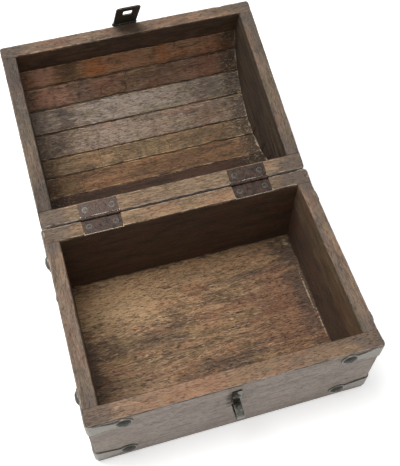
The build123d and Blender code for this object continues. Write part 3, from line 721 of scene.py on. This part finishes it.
# Painted highlight: a ragged lower half of each stud head is painted pale, like a reflection on the dome.
for stud_level in stud_levels:
    above = stud_iron.fade(height, stud_level - stud_reach, stud_level - stud_reach + 1)
    below = stud_iron.fade(ragged_height, stud_level + 2.4, stud_level + 0.8, high=0.6)
    painted_highlight = stud_iron.step("MULTIPLY", above, below)
    stud_iron.colour = stud_iron.paint(stud_iron.colour, (150, 143, 134), painted_highlight)
stud_finish = stud_iron.forged(depth=0.6)
for name in ("strap_studs", "back_strap_nails"):
    beads = bmesh.new()
    beads.from_mesh(nodes[name].data)
    bmesh.ops.remove_doubles(beads, verts=beads.verts, dist=1e-6)
    for vertex in beads.verts:
        for direction, board_face in enumerate((half_length, half_depth)):
            face = board_face + strap_thickness
            proud = abs(vertex.co[direction]) * 1000 - face
            if proud > 0:
                dent = dent_share * noise.noise(vertex.co * dents_per_metre)
                kept = face + proud * (stud_kept + dent)
                vertex.co[direction] = kept / 1000 * (1 if vertex.co[direction] > 0 else -1)
    bead_piece = smooth_piece(f"{name}_beaten", beads, stud_finish, crease=45)
    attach(bead_piece, "box")
    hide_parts(name)

# ---------------------------------------------------------------------------
# Rails and end panels of the lid: boards like the box's, dark inside, the two
# half-round panels butted between the rails and nailed. Each is worked on as it
# lies in the shut lid, and the lid is then thrown open.

rim_above_hinge = 0.4
lid_hinge = next(joint for joint in frame["joints"] if joint["name"] == "lid_hinge")
lid_open_angle = radians(lid_hinge["range_deg"][1])
hinge_y, hinge_z = (round(place * 1000, 3) for place in lid_hinge["pos_m"][1:])
to_shut = (
    Matrix.Translation((0, hinge_y, -rim_above_hinge))
    @ Matrix.Rotation(lid_open_angle, 4, "X")
    @ Matrix.Translation((0, -hinge_y, -hinge_z))
)
lid_lie = ((lid_open_angle, 0, 0), tuple(to_shut.translation))

front_rail_tones = {
    "dark": (76, 62, 52),
    "middle": (105, 86, 71),
    "light": (130, 107, 88),
    "accent": (132, 98, 72),
    "fleck": (142, 120, 98),
}
back_rail_tones = {
    "dark": (88, 71, 56),
    "middle": (120, 99, 78),
    "light": (148, 124, 99),
    "accent": (134, 104, 76),
    "fleck": (160, 140, 114),
}
for name, side, outer, inner, rail_tones in (
    ("lid_front_rail", -1, "front", "back", front_rail_tones),
    ("lid_back_rail", 1, "back", "front", back_rail_tones),
):
    rail_sides = sides_of(name, to_shut)
    rail_wood = Wood(f"{name}_wood", lie=lid_lie, shift=(120 * side, 60, 0))
    rail_colour = rail_wood.surface(**rail_tones)
    rail_colour = rail_wood.stained(rail_colour, (120, 100, 80), 0.25)
    rail_colour = rail_wood.corners(rail_colour)
    if outer == "front":
        rail_colour = rail_wood.patch(
            rail_colour, (76, 64, 56), centre=(-123, -90, 0), reach=(16, 14, 9), strength=0.6
        )
    rail_stain = rail_wood.surface(
        dark=(56, 44, 36), middle=(86, 67, 54), light=(114, 88, 68), accent=(112, 80, 56), accent_amount=0.3
    )
    rail_stain = rail_wood.stained(rail_stain, (72, 58, 45), 0.5)
    rail_colour = rail_wood.blend(rail_colour, rail_stain, rail_wood.skin(rail_sides[inner], 1.2, 0.2))
    rail_colour = rail_wood.weathered(rail_colour, rail_sides[outer], outside)
    rail_colour = rail_wood.end_grain(rail_colour)
    worn(
        name, "lid", rail_wood.timber(rail_colour, rub=(168, 142, 116)), rail_sides,
        edges=(f"{outer} bottom", f"{inner} bottom", "left bottom", "right bottom"),
        hollows=((inner, 0.25), (outer, 0.25)),
        own=to_shut,
        butted=inner,
    )

for name, side, outer, inner, start, grime in (
    ("lid_left_end", -1, "left", "right", 58, (60, 51, 45)),
    ("lid_right_end", 1, "right", "left", 76, (82, 71, 63)),
):
    panel_sides = sides_of(name, to_shut)
    panel_wood = Wood(f"{name}_wood", lie=lid_lie, turn=across, shift=(70 * side, 0, 30))
    panel_colour = panel_wood.surface(
        dark=(70, 60, 51), middle=(94, 80, 67), light=(118, 100, 83),
        accent=(118, 90, 70), accent_amount=0.4, fleck=(132, 114, 96),
    )
    panel_colour = panel_wood.stained(panel_colour, (98, 84, 70), 0.25)
    panel_colour = panel_wood.corners(panel_colour, "Y", start, grime)
    if outer == "left":
        panel_colour = panel_wood.patch(
            panel_colour, (70, 60, 53), centre=(-123, -52, 0), reach=(16, 48, 9), strength=0.7
        )
    panel_stain = panel_wood.surface(
        dark=(36, 28, 23), middle=(60, 49, 40), light=(84, 70, 54), accent=(88, 72, 48)
    )
    panel_stain = panel_wood.stained(panel_stain, (62, 52, 42), 0.5)
    panel_inner = panel_wood.skin(panel_sides[inner], 1.2, 0.2)
    panel_colour = panel_wood.blend(panel_colour, panel_stain, panel_inner)
    panel_colour = panel_wood.weathered(panel_colour, panel_sides[outer], outside)
    worn(
        name, "lid", panel_wood.timber(panel_colour), panel_sides,
        edges=(f"{outer} bottom", f"{inner} bottom"),
        hollows=((inner, 0.25),),
        own=to_shut,
    )

# ---------------------------------------------------------------------------
# Staves: nine narrow boards with bevelled edges, side by side round the lid,
# each of its own colour, some pieced from two lengths. Nailed to the ends.
# Stave 7's dark colour is painted shade.

arch_middle = (-1.7, 3.357)
arch_radius = 86.22
seam_angles = (18.0, 34.3, 50.6, 67.6, 86.0, 100.6, 120.4, 134.0, 148.0, 162.0)
seam_gap = 0.15
seam_swell = 0.14
weather_start = 90.5
weather_end = 92.5
patch_width = 14
patch_depth = 400
red_staves = (1, 2)
roughest_stave = 1
knotted_stave = 2
# Stave 7 is in painted shade: its dark colours and scant rubbed colour stand for the shadow near the back
# rail.
shaded_stave = 7
knot_centre = (-23, -62.7, 64.3)
knot_reach = (14, 8, 8)
knot_ring = 1.45
shadow = (44, 34, 28)
crust = (48, 40, 32)
crumb = (158, 134, 106)
torn_lip = (158, 144, 124)
stave_looks = (
    {
        "dark": (84, 62, 48), "middle": (150, 112, 86), "light": (186, 146, 112),
        "accent": (172, 112, 70), "accent_amount": 0.5, "sunk": 0.3, "joints": (),
        "patches": (
            ((182, 116, 66), -40, 14, 0.6),
            ((166, 106, 68), 34, 9, 0.6),
            ((190, 144, 118), -96, 16, 0.8),
            ((72, 60, 44), -68, 12, 0.6),
            ((164, 124, 94), 6, 20, 0.6),
        ),
    },
    {
        "dark": (74, 54, 44), "middle": (122, 96, 79), "light": (154, 126, 105),
        "accent": (138, 90, 66), "accent_amount": 0.4, "sunk": 1.0, "joints": (-9.4,),
        "patches": (
            ((120, 98, 84), -60, 26, 0.6),
            ((132, 84, 62), 84, 16, 0.6),
            ((178, 132, 108), -92, 26, 0.8),
            ((136, 92, 68), -30, 22, 0.5),
            ((98, 72, 54), 34, 30, 0.5),
        ),
    },
    {
        "dark": (98, 86, 76), "middle": (146, 130, 116), "light": (176, 160, 145),
        "accent": (132, 112, 96), "accent_amount": 0.35, "sunk": 0.4, "joints": (),
        "patches": (
            ((166, 150, 136), -14, 44, 0.55),
            ((98, 84, 72), 80, 34, 0.7),
            ((62, 48, 42), -80, 14, 0.6),
        ),
    },
    {
        "dark": (84, 70, 61), "middle": (130, 112, 97), "light": (158, 138, 120),
        "accent": (130, 102, 82), "accent_amount": 0.4, "sunk": 1.1, "joints": (),
        "patches": (
            ((148, 130, 116), -30, 34, 0.5),
            ((112, 84, 66), 74, 22, 0.7),
            ((70, 56, 46), -94, 14, 0.7),
        ),
    },
    {
        "dark": (74, 58, 43), "middle": (113, 91, 67), "light": (144, 118, 86),
        "accent": (126, 98, 66), "accent_amount": 0.45, "sunk": 0.5, "joints": (-54.5, 21.8),
        "patches": (((104, 88, 60), 0, 22, 0.5), ((98, 76, 52), 70, 34, 0.6)),
    },
    {
        "dark": (62, 43, 29), "middle": (100, 74, 52), "light": (134, 102, 72),
        "accent": (126, 86, 52), "accent_amount": 0.45, "sunk": 0.9, "joints": (-79.0,),
        "patches": (
            ((106, 86, 58), -94, 12, 0.6),
            ((146, 106, 72), 99, 12, 0.5),
            ((84, 60, 42), 30, 50, 0.6),
        ),
    },
    # Stave 7: painted shade, dark for the shadow it lies in near the back rail.
    {
        "dark": (30, 21, 16), "middle": (50, 35, 26), "light": (74, 52, 38),
        "accent": (78, 48, 32), "accent_amount": 0.45, "sunk": 0.4, "joints": (),
        "patches": (((78, 52, 38), 50, 40, 0.5),),
    },
    {
        "dark": (46, 34, 27), "middle": (78, 58, 46), "light": (106, 80, 62),
        "accent": (96, 66, 46), "accent_amount": 0.4, "sunk": 0.7, "joints": (),
        "patches": (),
    },
    {
        "dark": (46, 34, 27), "middle": (78, 58, 46), "light": (106, 80, 62),
        "accent": (96, 66, 46), "accent_amount": 0.4, "sunk": 0.5, "joints": (),
        "patches": (),
    },
)


def stave_timber(number, look, lean):
    """The material of one stave, with its lean round the arch."""
    dark, middle, light = look["dark"], look["middle"], look["light"]
    wood = Wood(f"stave_{number}_wood", lie=lid_lie, shift=(137 * number, 23 * number, 0), sway=7.0)
    colour = wood.surface(
        dark, middle, light, look["accent"], look["accent_amount"],
        fleck=[part * 1.14 for part in light], fleck_amount=0.7,
    )
    colour = wood.stained(colour, middle, 0.5 if number in red_staves else 0.3)
    for patch_colour, x, reach, strength in look["patches"]:
        centre = (x, arch_middle[0] - arch_radius * cos(lean), 0)
        colour = wood.patch(colour, patch_colour, centre, (reach, patch_width, patch_depth), strength)
    if number == knotted_stave:
        from_knot = wood.step("MULTIPLY_ADD", wood.cloud, 0.9, wood.reach_from(knot_centre, knot_reach))
        from_ring = wood.step("ABSOLUTE", wood.step("SUBTRACT", from_knot, knot_ring))
        colour = wood.paint(colour, (58, 38, 30), wood.fade(from_ring, 0.10, 0.02, high=0.55))
    planed = wood.noise(wood.along, size=(7, 16, 16), detail=3, roughness=0.5, shift=(3, 5, 7))
    colour = wood.paint(colour, dark, wood.fade(planed, 0.52, 0.72, high=0.5))

    x_place = wood.axis(wood.own, "X")
    colour = wood.paint(colour, shadow, wood.fade(x_place, 20, 118, high=0.26))
    left_end = wood.step("MULTIPLY_ADD", wood.cloud, 34, x_place)
    left_end = wood.fade(left_end, -78, -96, high=0.35 if number in red_staves else 0.7)
    colour = wood.paint(colour, dark, left_end)
    right_end = wood.step("MULTIPLY_ADD", wood.cloud, -34, x_place)
    colour = wood.paint(colour, crust, wood.fade(right_end, 72, 90, high=0.7))
    near_ends = wood.fade(wood.step("ABSOLUTE", x_place), 78, 104, high=0.6)
    crumbs = wood.noise(wood.along, size=(3, 1.6, 1.6), detail=4, roughness=0.65, shift=(9, 4, 2))
    crumbs = wood.step("MULTIPLY", wood.fade(crumbs, 0.54, 0.64), near_ends)
    colour = wood.paint(colour, crumb, crumbs)
    lip = wood.step("MULTIPLY_ADD", wood.fibre, 3.0, x_place)
    lip = wood.step("MULTIPLY_ADD", wood.cloud, 12.0, lip)
    colour = wood.paint(colour, torn_lip, wood.fade(lip, 122.6, 123.6, high=0.8))

    from_middle = wood.reach_from((0, *arch_middle), (1e9, 1, 1))
    accent = [(part + grey) / 2 for part, grey in zip(middle, outside["accent"])]
    greys = {**outside, "accent": accent, "accent_amount": 0.9, "fleck": None}
    outer_side = wood.fade(from_middle, weather_start, weather_end)
    colour = wood.end_grain(wood.blend(colour, wood.surface(**greys), outer_side))
    return wood.timber(
        colour, pore=0.6, line=(22, 16, 13), line_start=0.88,
        rub=(180, 152, 116), rub_amount=0.3 if number == shaded_stave else 0.9,
    )


for number, look in enumerate(stave_looks, start=1):
    first, last = seam_angles[number - 1:number + 1]
    lean = radians((first + last) / 2)
    half = radians((last - first) / 2)
    face_level = arch_radius * cos(half)
    half_width = face_level * tan(half) - seam_gap
    to_stave = (
        Matrix.Rotation(lean - radians(90), 4, "X")
        @ Matrix.Translation((0, -arch_middle[0], -arch_middle[1]))
        @ to_shut
    )
    stave_sides = {
        "front": (1, -half_width, 1),
        "back": (1, half_width, -1),
        "bottom": (2, face_level, 1),
    }
    worn(
        f"stave_{number}", "lid", stave_timber(number, look, lean), stave_sides,
        edges=("front bottom", "back bottom"),
        hollows=(("bottom", look["sunk"]),),
        own=to_stave,
        spacing=2.8,
        reach=1.9,
        depth=1.0 if number == roughest_stave else 0.6,
        joints=look["joints"],
        slope=tan(half),
        swell=seam_swell,
    )

# ---------------------------------------------------------------------------
# Nails: cut nails of dark iron, driven through the boards, the rails and the
# staves until their square heads are flush with the wood.

nail_finish = Iron(
    "nail_iron", dark=(38, 32, 28), light=(66, 54, 46), rim=(92, 84, 76)
).forged(depth=0.3)
for name in ("corner_nails", "floor_nails", "rail_nails", "stave_nails"):
    cover_node(name, nail_finish)

# ---------------------------------------------------------------------------
# Butt hinges: leaves of browned iron with rubbed edges, knuckled round a pin,
# let in flush and held by cross-headed screws. The knuckle's pale edges are
# wear and a painted highlight.

knuckle_line = 99.4
box_leaf_edge = 83.0

hinge_iron = Iron(
    "hinge_iron", dark=(26, 19, 15), light=(64, 46, 36), rim=(16, 12, 9), reach=0.9, patchy=False
)
depth_place = hinge_iron.axis(hinge_iron.place, "Y")
from_knuckle = hinge_iron.step("ABSOLUTE", hinge_iron.step("SUBTRACT", depth_place, knuckle_line))
# Along the knuckle the edges are painted pale: wear, and a painted highlight on the barrel.
knuckle_highlight_and_wear = hinge_iron.fade(from_knuckle, 1.8, 1.2)
rubbed_leaf = hinge_iron.fade(depth_place, box_leaf_edge + 1, box_leaf_edge)
bright = hinge_iron.step("MAXIMUM", knuckle_highlight_and_wear, rubbed_leaf)
bright = hinge_iron.step("MULTIPLY", hinge_iron.edge, bright)
hinge_iron.colour = hinge_iron.paint(hinge_iron.colour, (206, 192, 170), bright)
hinge_finish = hinge_iron.forged(depth=0.35)
screw_finish = Iron(
    "screw_iron", dark=(26, 23, 19), light=(54, 49, 43), rim=(104, 97, 88), metallic=0.5
).forged(depth=0.1)
for name in nodes:
    if name.startswith("hinge_"):
        cover_node(name, screw_finish if name.endswith("screws") else hinge_finish)

# ---------------------------------------------------------------------------
# Hasp and staple: a slotted leaf of dark iron pinned to a plate on the lid, and
# a staple bent out of a small screwed plate, both satin where they are handled.

staple_plate_face = -98.35

hasp_finish = Iron(
    "hasp_iron", dark=(34, 33, 28), light=(58, 56, 48), rim=(96, 92, 82)
).forged(depth=0.2)
staple_iron = Iron(
    "staple_iron", dark=(58, 57, 52), light=(112, 112, 104), rim=(146, 146, 136),
    metallic=0.7, reach=0.8, spotted=0.1,
)
depth_place = staple_iron.axis(staple_iron.place, "Y")
proud_strip = staple_iron.fade(depth_place, staple_plate_face, staple_plate_face - 0.55)
plate_colour = staple_iron.shades(staple_iron.patina, (44, 40, 31), (98, 92, 76))
staple_iron.colour = staple_iron.blend(plate_colour, staple_iron.colour, proud_strip)
staple_finish = staple_iron.forged(depth=0.08, gloss=(0.16, 0.3))
staple_screw_finish = Iron(
    "staple_screw_iron", dark=(22, 22, 15), light=(58, 56, 40), rim=(120, 116, 96), metallic=0.5
).forged(depth=0.3, gloss=(0.24, 0.4))
for name in ("hasp_plate", "hasp_plate_screws", "hasp_pin", "hasp_leaf"):
    cover_node(name, hasp_finish)
cover_node("staple", staple_finish)
cover_node("staple_screw", staple_screw_finish)
